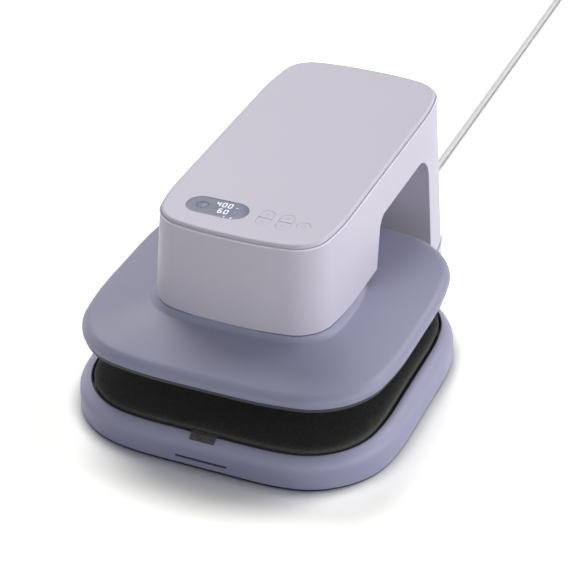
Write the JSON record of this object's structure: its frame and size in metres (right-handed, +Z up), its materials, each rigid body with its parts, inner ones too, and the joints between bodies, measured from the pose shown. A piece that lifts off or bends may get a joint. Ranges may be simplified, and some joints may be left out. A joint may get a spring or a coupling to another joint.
{
  "type": "automatic heat press",
  "caption": "Automatic heat press: cushioned base, arched arm that lifts on a rear hinge, motor-driven heated platen, display and keys on top, mains cord.",
  "frame": {"origin": "on the surface the press stands on, under the middle of the press without its cord", "axes": "+Z up; the front of the press, with its finger groove, looks along -Y; +X is to the right for someone who looks along +Y at that front"},
  "size_m": [0.4462, 1.6706, 0.2914],
  "materials": {
    "arm_plastic": "satin pale lilac moulded plastic",
    "base_plastic": "satin blue-purple moulded plastic",
    "dark_plastic": "dark heat-resistant plastic",
    "pad_fabric": "black heat-resistant cloth over silicone foam",
    "tab_fabric": "black woven tape",
    "soft_rubber": "matt",
    "steel": "dark powder-coated sheet steel",
    "bright_steel": "bright",
    "bearing_brass": "plain brass",
    "motor_metal": "black",
    "heat_plate": "dark non-stick coating on cast aluminium",
    "insulation": "pale mineral board",
    "circuit_board": "green board",
    "display": "black display module",
    "window": "smoked purple-grey window",
    "start_key": "satin purple-grey",
    "keys": "satin lilac",
    "cord_plastic": "pale grey flexible plastic"
  },
  "bodies": {
    "base": {"base_shell": "base_plastic", "tail_cover": "arm_plastic", "base_bottom_plate": "dark_plastic", "feet": "soft_rubber", "base_screws": "bright_steel", "base_frame": "steel", "hinge_bracket_left": "steel", "hinge_bracket_right": "steel", "hinge_pin": "bright_steel", "pin_clips": "bright_steel", "torsion_spring_left": "bright_steel", "torsion_spring_right": "bright_steel", "stop_bumpers": "soft_rubber", "mains_board": "circuit_board", "pad_tray": "dark_plastic", "press_mat": "pad_fabric", "mat_tab": "tab_fabric", "strain_relief": "cord_plastic", "power_cord": "cord_plastic", "cord_coil": "cord_plastic", "plug_body": "cord_plastic", "plug_blades": "bearing_brass"},
    "arm": {"arm_housing": "arm_plastic", "top_cover": "arm_plastic", "cheek_plate_left": "steel", "cheek_plate_right": "steel", "leg_plate": "steel", "hinge_barrel": "steel", "hinge_bushes": "bearing_brass", "motor_plate": "steel", "screw_bearing": "bearing_brass", "guide_plate": "steel", "guide_bushes": "bearing_brass", "beam_plate": "steel", "main_board": "circuit_board", "press_motor": "motor_metal", "motor_screws": "bright_steel", "control_board": "circuit_board", "display_module": "display", "display_window": "window"},
    "platen": {"platen_shell": "base_plastic", "platen_rim": "dark_plastic", "neck_sleeve": "dark_plastic", "heat_plate": "heat_plate", "heating_element": "bright_steel", "thermal_cut_out": "bright_steel", "insulation_board": "insulation", "backing_plate": "steel", "press_column": "bright_steel", "press_nut": "bearing_brass", "guide_posts": "bright_steel", "platen_screws": "bright_steel"},
    "drive_screw": {"lead_screw": "bright_steel"},
    "start_key": {"start_button": "start_key"},
    "temp_up_key": {"temp_up_button": "keys"},
    "temp_down_key": {"temp_down_button": "keys"},
    "time_up_key": {"time_up_button": "keys"},
    "time_down_key": {"time_down_button": "keys"},
    "power_key": {"power_button": "keys"}
  },
  "joints": [
    {"name": "arm_hinge", "type": "hinge", "parent": "base", "child": "arm", "pos_m": [0, 0.2805, 0.047], "axis": [-1, 0, 0], "range_deg": [0, 40]},
    {"name": "press_slide", "type": "slide", "parent": "arm", "child": "platen", "axis": [0, 0, -1], "range_m": [0, 0.0547]},
    {"name": "screw_spin", "type": "hinge", "parent": "arm", "child": "drive_screw", "pos_m": [0, -0.0793, 0.2], "axis": [0, 0, 1], "range_deg": [0, 2470]},
    {"name": "start_press", "type": "slide", "parent": "arm", "child": "start_key", "axis": [0, 0, -1], "range_m": [0, 0.0008], "stiffness_N_per_m": 1500, "springref_m": -0.0004},
    {"name": "temp_up_press", "type": "slide", "parent": "arm", "child": "temp_up_key", "axis": [0, 0, -1], "range_m": [0, 0.0008], "stiffness_N_per_m": 1500, "springref_m": -0.0004},
    {"name": "temp_down_press", "type": "slide", "parent": "arm", "child": "temp_down_key", "axis": [0, 0, -1], "range_m": [0, 0.0008], "stiffness_N_per_m": 1500, "springref_m": -0.0004},
    {"name": "time_up_press", "type": "slide", "parent": "arm", "child": "time_up_key", "axis": [0, 0, -1], "range_m": [0, 0.0008], "stiffness_N_per_m": 1500, "springref_m": -0.0004},
    {"name": "time_down_press", "type": "slide", "parent": "arm", "child": "time_down_key", "axis": [0, 0, -1], "range_m": [0, 0.0008], "stiffness_N_per_m": 1500, "springref_m": -0.0004},
    {"name": "power_press", "type": "slide", "parent": "arm", "child": "power_key", "axis": [0, 0, -1], "range_m": [0, 0.0008], "stiffness_N_per_m": 1500, "springref_m": -0.0004}
  ],
  "couplings": [
    {"joint": "screw_spin", "follows": "press_slide", "rad_per_m": 785.4}
  ]
}
